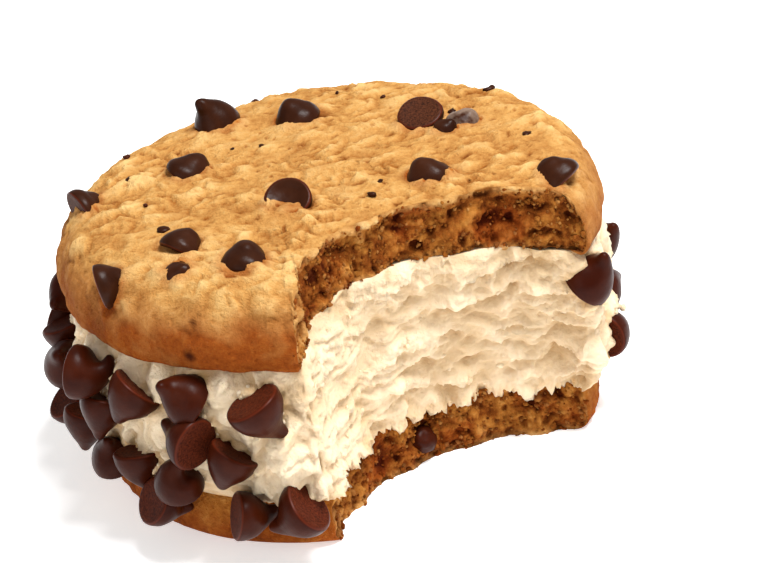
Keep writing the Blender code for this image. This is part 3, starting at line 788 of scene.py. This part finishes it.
# Ochre tint: painted shade round the chips, smeared crumb low on the side, and darker bands where the ice meets each
# cookie.
smear_and_shade_tint = 0.55 * np.exp(-(np.maximum(gap, 0) / 1.1) ** 2) + 0.42 * on_side * smeared
smear_and_shade_tint += 0.5 * (1 - ease(points[:, 2], 9.2, 10.6)) + 0.45 * ease(rise, 0.93, 1.0) * on_side
smear_and_shade_tint = np.clip(smear_and_shade_tint * (0.6 + 0.8 * noise(points / 2.6 + 88.0)), 0, 1)
ice = make_piece(
    "vanilla_ice_cream",
    points,
    faces,
    ice_cream_finish("vanilla ice cream"),
    {"relief_shade": relief_shade, "smear_and_shade_tint": smear_and_shade_tint},
)
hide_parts("ice_cream")
ice_wall = (points[walled], normals_of(points, faces)[walled], to_horn[walled], gap[walled])


# ---------------------------------------------------------------------------------------------------------
# Upper cookie. The same dough baked without a tray under its crown: domed, lumpy and golden on top, smoother
# and browner round its rim. The top is a square grid eased into the bitten outline.

TOP_CELLS = 240
SHOULDER_START = math.radians(25)  # how far up the shoulder the grid of the top begins
SCORCHED_MOST = math.radians(-105)
RIM_SPOTS = ((-20.9, -35.4, 38.8, 0.8), (-22.3, -36.1, 34.1, 1.0), (-9.5, -39.5, 33.0, 0.6))


def floor_of_upper(plan):
    inset = inset_of(plan, UPPER_MIDDLE, UPPER_RADIUS, UPPER_LOBES)
    return under_upper(plan) + UPPER_RIM_CORNER[1] * quarter(1 - inset / UPPER_RIM_CORNER[0])


def top_of_upper(plan):
    """The height of the crust: a low crown that rounds off in an elliptical shoulder."""
    off = plan - UPPER_MIDDLE
    reach = np.hypot(*off.T)
    rim = lobed_radius(UPPER_RADIUS, UPPER_LOBES, np.arctan2(off[:, 1], off[:, 0]))
    width, rise = UPPER_SHOULDER
    drop = np.clip((reach - (rim - width)) / width, 0, 1)
    crown = UPPER_CROWN * np.clip(1 - (reach / (rim - width)) ** 2, 0, 1)
    widest = UPPER_RIM + UPPER_RIM_CORNER[1]
    return widest + rise * np.sqrt(1 - drop ** 2) + crown + UPPER_LEAN * plan[:, 0]


width, rise = UPPER_SHOULDER
start_inset = width * (1 - math.cos(SHOULDER_START))
profile = corner_path(UPPER_RIM_CORNER, UPPER_SHOULDER, UPPER_RIM, UPPER_RIM + UPPER_RIM_CORNER[1] + rise)
profile = profile[profile[:, 1] < UPPER_RIM + UPPER_RIM_CORNER[1] + rise * math.sin(SHOULDER_START)]
start_height = UPPER_RIM + UPPER_RIM_CORNER[1] + rise * math.sin(SHOULDER_START)
profile = resample(np.vstack([profile, [start_inset, start_height]]), 33)
outline = (UPPER_MIDDLE, UPPER_RADIUS, UPPER_LOBES, UPPER_BITE)
counts = (520, 4 * TOP_CELLS - 520)
rows, horns = bitten_side(profile, *outline, counts, floor_of_upper, top_of_upper, UPPER_LEAN)
rings = [toward_hub(rows[0], share) for share in (0.3, 0.6, 0.85, 0.95)]
rings = [with_height(plan, under_upper(plan)) for plan in rings]
inner = len(rings)
rings = [*rings, *rows[:-1]]
size = len(rows[0])

# The square's rim is laid round the last row: its distance from the middle becomes the way out from the hub,
# and where it stands round the square becomes the place on the row.
across, along = np.meshgrid(np.linspace(-1, 1, TOP_CELLS + 1), np.linspace(-1, 1, TOP_CELLS + 1), indexing="ij")
radial = np.maximum(np.abs(across), np.abs(along))
safe = np.maximum(radial, 1e-9)
side = np.select(
    [(across >= np.abs(along)) & (radial > 0), along >= np.abs(across), -across >= np.abs(along)],
    [along / safe, 2 - across / safe, 4 - along / safe],
    6 + across / safe,
)
spot = (side + 1) * TOP_CELLS / 2
wrapped = np.arange(size + 1)
edge = np.column_stack([rows[-1][:, :2], horns[-1]])
edge_x, edge_y, edge_horn = (np.interp(spot, wrapped, np.append(column, column[0])) for column in edge.T)
on_rim = ease(edge_horn, -HORN_REACH - 25 * (1 - radial), 25 * (1 - radial))
ray = np.stack([edge_x, edge_y], -1) - HUB
length = np.linalg.norm(ray, axis=-1)
arc = np.linspace(0, 1, 400)
turned = SHOULDER_START + (math.pi / 2 - SHOULDER_START) * arc
slope = np.hypot(width * np.sin(turned), rise * np.cos(turned))
arc_length = np.concatenate([[0], np.cumsum((slope[1:] + slope[:-1]) / 2)]) * (turned[1] - turned[0])
flat = length - (width - start_inset)
travelled = (1 - radial) * (flat + arc_length[-1])
on_arc = np.interp(travelled, arc_length, width * (1 - np.cos(turned)) - start_inset)
inward = np.where(travelled < arc_length[-1], on_arc, travelled - arc_length[-1] + width - start_inset)
reach = on_rim * (1 - inward / length) + (1 - on_rim) * radial
plan = (HUB + ray * reach[..., None]).reshape(-1, 2)
top = with_height(plan, top_of_upper(plan))

number = np.arange((TOP_CELLS + 1) ** 2).reshape(TOP_CELLS + 1, TOP_CELLS + 1)
last = TOP_CELLS
border = np.concatenate([number[last, :last], number[last:0:-1, last], number[0, last:0:-1], number[:last, 0]])
first_grid = len(rings) * size
top[border] = rows[-1]
corner = np.arange(first_grid).reshape(len(rings), size)
corner = np.vstack([corner, border + first_grid])
after = np.roll(corner, -1, 1)
walls = np.stack([corner[:-1], after[:-1], after[1:], corner[1:]], -1).reshape(-1, 4)
cells = np.stack([number[:-1, :-1], number[1:, :-1], number[1:, 1:], number[:-1, 1:]], -1).reshape(-1, 4)
pole = first_grid + number.size
fan = np.stack([np.full(size, pole), after[0], corner[0]], 1)
points = np.vstack([np.reshape(rings, (-1, 3)), top, [[*HUB, under_upper(HUB[None])[0]]]])
faces = [np.vstack([walls, cells + first_grid]), fan]

to_horn = np.zeros(len(points))
to_horn[inner * size:first_grid] = np.concatenate(horns[:-1])
crumb = ease(-to_horn, -0.1, 0.5)
crumb[border + first_grid] = 0.6 * ease(-horns[-1], 0.0, 0.5)
hidden = np.zeros(len(points))
hidden[: inner * size] = 1
hidden[pole] = 1

off = points[:, :2] - UPPER_MIDDLE
angle = np.arctan2(off[:, 1], off[:, 0])
inset = inset_of(points[:, :2], *outline[:3])
level = points[:, 2] - UPPER_LEAN * points[:, 0] - UPPER_RIM
rim_share = (1 - ease(level, 4.0, 11.0)) * (1 - ease(inset, 2.0, 7.0))
drift = np.stack([noise(points / 4.0 + 60.0), noise(points / 4.0 + 90.0), noise(points / 4.0 + 30.0)], -1)
warped = points + 1.3 * drift
lumpy = 0.40 + 0.60 * ease(rough(points / 8.0 + 19.0, 2), -0.5, 0.45)
lumps = 0.62 * puffs(warped / 5.0 + 3.0, 1) + 0.36 * puffs(warped / 2.3 + 7.0, 1) + 0.14 * puffs(points / 1.05 + 1.0, 1)
pit = ease(noise(points / 1.15 + 44.0), 0.42, 0.70)
crust = 0.60 * rough(points / 10.0 + 21.0, 2) + (1 - 0.85 * rim_share) * (lumpy * lumps - 0.30 * pit)
along_rim = np.stack([angle * 38 / 9.0, inset / 1.9, np.full(len(points), 3.0)], -1)
folded = ease(inset, 3.0, 6.0) * (1 - ease(inset, 12.0, 16.0)) * ease(np.cos(angle + math.radians(117)), 0.84, 0.97)
crust += 0.50 * folded * (1 - 2 * np.abs(noise(along_rim + 0.25 * drift)))
crust += rim_share * (0.10 * rough(points / 2.6 + 6.0, 2) - 0.16 * ease(noise(points / 0.9 + 15.0), 0.50, 0.75))

top_chips = [place for name, place in places.items() if name.startswith("top")]
gap = np.min([near_chip(points, place) for place in top_chips], axis=0)
collar = np.exp(-(np.maximum(gap, 0) / 1.3) ** 2)
crust += collar * (0.45 + 1.0 * noise(points / 2.9 + 8.0)) - 1.6 * ease(-gap, 0.3, 1.8)

torn = crumb_relief(points)
ceiling = top_of_upper(points[:, :2])
depth = np.maximum(ceiling - points[:, 2], 0)
overhang = 0.45 * np.exp(-(depth / 0.9) ** 2) - 0.45 * np.exp(-((depth - 2.2) / 1.1) ** 2)
lift = (1 - crumb) * crust + crumb * (torn - 0.15 + overhang * (1 + noise(points / 4.0 + 18.0)))
lift *= 1 - hidden
points = points + normals_of(points, faces) * lift[:, None]

floor_gap = np.maximum(points[:, 2] - floor_of_upper(points[:, :2]), 0)
skin = np.exp(-(depth / 0.8) ** 2) + 0.5 * np.exp(-(floor_gap / 0.6) ** 2)
near_left = ease(to_horn, -12.0, -2.0) * (points[:, 0] < BITE_CENTRE[0]) * (0.6 + 0.7 * noise(points / 2.5 + 17.0))
skin = crumb * np.maximum(skin, near_left)
# The relief that the colour follows, as painted shade: darker in the crust's creases and the crumb's holes, lighter on
# lumps.
relief_shade = np.where(crumb > 0.5, torn, 1.3 * (crust - 0.60 * rough(points / 10.0 + 21.0, 2)))
browning_and_pit_shade = (0.68 + 0.37 * np.cos(angle - SCORCHED_MOST)) * (1 - ease(level + 1.8 * noise(points / 6.0), 4.0, 12.0))
# Darker round the chips, and browner in the pits as painted shade.
browning_and_pit_shade += 0.65 * np.exp(-(np.maximum(gap, 0) / 1.2) ** 2) * (1 + 0.5 * noise(points / 1.8 + 61.0)) + 0.5 * pit * (inset > 7)
browning_and_pit_shade = np.clip(browning_and_pit_shade + 0.20 * rough(points / 5.0 + 12.0, 3), 0, 1) * (1 - hidden)
stain = np.zeros(len(points))
for *spot, wide in RIM_SPOTS:
    stain += np.exp(-((np.linalg.norm(points - spot, axis=1) + 0.3 * noise(points / 0.7)) / wide) ** 4)
upper = make_piece(
    "upper_cookie_baked",
    points,
    faces,
    cookie_finish(
        "upper cookie crust",
        ((0.16, (0.38, 0.130, 0.022)), (0.48, (0.665, 0.340, 0.096)), (0.84, (0.86, 0.560, 0.220))),
    ),
    {"crumb": crumb, "relief_shade": relief_shade, "browning_and_pit_shade": browning_and_pit_shade, "skin": np.clip(skin, 0, 1), "stain": np.clip(stain, 0, 1)},
)
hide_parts("cookie_upper")
upper_wall = (points[:first_grid], normals_of(points, faces)[:first_grid], crumb[:first_grid])


# ---------------------------------------------------------------------------------------------------------
# Loose bits. Crumbs that the bite tore from both cookies and left along their broken walls, flakes of cream
# dragged up against the chips and out of the bitten face, and specks of chocolate baked into the crust.

NUGGET_SIDES = 8
NUGGET_RINGS = 5


def nuggets(spots, sizes, flatness, ways):
    """Many little closed lumps at once: each is a ball of a few rings, flattened along its own way, turned
    at random and pushed in and out by noise."""
    turn = np.linspace(-math.pi / 2, math.pi / 2, NUGGET_RINGS + 2)[1:-1]
    angle = np.linspace(0, 2 * math.pi, NUGGET_SIDES, endpoint=False)
    ball = np.stack(
        [
            np.cos(turn)[:, None] * np.cos(angle),
            np.cos(turn)[:, None] * np.sin(angle),
            np.broadcast_to(np.sin(turn)[:, None], (len(turn), len(angle))),
        ],
        -1,
    )
    ball, faces = closed_rings(ball, [0.0, 0.0, -1.0], [0.0, 0.0, 1.0])
    third = ways / np.linalg.norm(ways, axis=1, keepdims=True)
    first = np.cross(third, chance.normal(size=third.shape))
    first /= np.linalg.norm(first, axis=1, keepdims=True)
    axes = np.stack([first, np.cross(third, first), third], 1)
    stretch = np.stack([chance.uniform(0.8, 1.25, len(spots)), chance.uniform(0.7, 1.0, len(spots)), flatness], -1)
    own = ball * stretch[:, None, :] * sizes[:, None, None]
    points = spots[:, None, :] + np.einsum("nka,nab->nkb", own, axes)
    points = points.reshape(-1, 3)
    out = (points - np.repeat(spots, len(ball), axis=0)) * 0.75
    points = points + out * noise(points / np.repeat(sizes, len(ball))[:, None] * 1.1)[:, None]
    start = np.arange(len(spots)) * len(ball)
    faces = [(group[None] + start[:, None, None]).reshape(-1, group.shape[1]) for group in faces]
    return points, faces


def scatter(wall, wanted, count):
    """Random places on a wall, where it is wanted."""
    allowed = np.flatnonzero(wanted)
    chosen = allowed[chance.integers(0, len(allowed), count)]
    return wall[0][chosen], wall[1][chosen]


def set_bits(name, spots, ways, sizes, flatness, material, marks):
    points, faces = nuggets(spots, sizes, flatness, ways)
    points[:, 2] = np.maximum(points[:, 2], 0.0)
    each = len(points) // len(spots)
    marks = {mark: np.repeat(values, each) for mark, values in marks.items()}
    bits = make_piece(name, points, faces, material, marks)


chance = np.random.default_rng(23)
for name, wall, cookie, count in (("upper", upper_wall, upper, 620), ("lower", lower_wall, lower, 520)):
    spots, ways = scatter(wall, wall[2] > 0.5, count)
    sizes = chance.uniform(0.14, 0.28, count) + 0.34 * chance.random(count) ** 6
    marks = {
        "crumb": np.ones(count),
        "relief_shade": chance.uniform(-0.4, 0.3, count),
        "browning_and_pit_shade": np.zeros(count),
        "skin": 0.25 * (chance.random(count) < 0.3),
        "stain": 0.7 * (chance.random(count) < 0.04),
    }
    flatness = chance.uniform(0.6, 1.0, count)
    set_bits(name + "_cookie_crumbs", spots + 0.08 * ways, ways, sizes, flatness, cookie.data.materials[0], marks)

near_chips = (ice_wall[3] > -0.1) & (ice_wall[3] < 0.7) & (ice_wall[2] > 0)
spots, ways = scatter(ice_wall, near_chips, 260)
bite_spots, bite_ways = scatter(ice_wall, ice_wall[2] < -1.0, 40)
spots = np.vstack([spots, bite_spots])
ways = np.vstack([ways, bite_ways])
sizes = chance.uniform(0.16, 0.34, len(spots)) + 0.36 * chance.random(len(spots)) ** 4
marks = {"relief_shade": chance.uniform(0.0, 1.0, len(spots)), "smear_and_shade_tint": np.zeros(len(spots))}
flatness = chance.uniform(0.35, 0.9, len(spots))
set_bits("ice_cream_flakes", spots + 0.05 * ways, ways, sizes, flatness, ice.data.materials[0], marks)

BAKED_IN = (
    (-29.6, 8.2), (7.5, -14.8), (9.1, -10.7), (33.3, 0.5), (22.9, 13.9), (-8.3, 11.3), (-27.2, -3.0),
    (-13.1, 13.4), (-24.5, -13.5), (5.2, 31.0), (-30.5, 18.5), (30.0, 22.5), (12.5, 24.5), (-9.0, 36.5),
)
plan = np.array(BAKED_IN)
spots = with_height(plan, top_of_upper(plan) + 0.1 + 0.60 * rough(with_height(plan, top_of_upper(plan)) / 10.0 + 21.0, 2))
sizes = np.append(1.5, chance.uniform(0.40, 0.95, len(plan) - 1))
ways = np.tile([0.0, 0.0, 1.0], (len(plan), 1))
marks = {"foot": np.zeros(len(plan)), "edge": 0.3 * (chance.random(len(plan)) < 0.3), "bloom": np.zeros(len(plan))}
set_bits("chocolate_specks_in_crust", spots, ways, sizes, np.full(len(plan), 0.5), baked_chocolate, marks)


# ---------------------------------------------------------------------------------------------------------
# Camera, light and floor. A long lens looks down a little and is rolled to one side. One soft light stands
# high behind the right shoulder, a broad one fills from the front left, and the floor glows like a light table.

MIDDLE = Vector((0.0, 0.0, 0.025))
ELEVATION = math.radians(26.03)
DISTANCE = 0.4
ROLL = math.radians(-8.71)

back = Vector((0.0, -math.cos(ELEVATION), math.sin(ELEVATION)))
eye = MIDDLE + DISTANCE * back
upright = Matrix.Rotation(ROLL, 3, back) @ Matrix(
    ((1, 0, 0), (0, math.sin(ELEVATION), -math.cos(ELEVATION)), (0, math.cos(ELEVATION), math.sin(ELEVATION)))
)
aim = MIDDLE + upright.col[0] * 0.00792 - upright.col[1] * 0.00029
back = (eye - aim).normalized()
right = (upright.col[0] - back * back.dot(upright.col[0])).normalized()
camera_data = bpy.data.cameras.new("camera")
camera_data.lens = 117.14
camera_data.sensor_width = 36.0
camera_data.clip_start = 0.01
camera = bpy.data.objects.new("camera", camera_data)
camera.matrix_world = Matrix.Translation(eye) @ Matrix((right, back.cross(right), back)).transposed().to_4x4()
bpy.context.scene.collection.objects.link(camera)
bpy.context.scene.camera = camera


def soft_box(name, place, size, power, colour=(1.0, 1.0, 1.0)):
    """A square light that looks at the sandwich."""
    data = bpy.data.lights.new(name, "AREA")
    data.size = size
    data.energy = power
    data.color = colour
    lamp = bpy.data.objects.new(name, data)
    lamp.location = place
    lamp.rotation_euler = (MIDDLE - Vector(place)).to_track_quat("-Z", "Y").to_euler()
    bpy.context.scene.collection.objects.link(lamp)


soft_box("key", (0.24, -0.12, 0.76), 0.26, 9.0)
soft_box("front fill", (-0.50, -0.70, 0.40), 0.60, 1.4)
soft_box("right fill", (0.60, -0.45, 0.35), 0.50, 0.5)

world = bpy.data.worlds.new("studio")
world.use_nodes = True
world.node_tree.nodes["Background"].inputs["Color"].default_value = (1.0, 1.0, 1.0, 1.0)
world.node_tree.nodes["Background"].inputs["Strength"].default_value = 0.36
bpy.context.scene.world = world
bpy.context.scene.view_settings.view_transform = "Standard"

floor_data = bpy.data.meshes.new("floor")
floor_data.from_pydata([(-3, -3, 0), (3, -3, 0), (3, 3, 0), (-3, 3, 0)], [], [(0, 1, 2, 3)])
floor = bpy.data.objects.new("floor", floor_data)
paper = bpy.data.materials.new("white paper")
paper.use_nodes = True
glow = paper.node_tree.nodes["Principled BSDF"].inputs
glow["Base Color"].default_value = (0.93, 0.93, 0.93, 1.0)
glow["Roughness"].default_value = 0.9
glow["Specular IOR Level"].default_value = 0.1
glow["Emission Color"].default_value = (1.0, 1.0, 1.0, 1.0)
glow["Emission Strength"].default_value = 0.5
floor_data.materials.append(paper)
bpy.context.scene.collection.objects.link(floor)
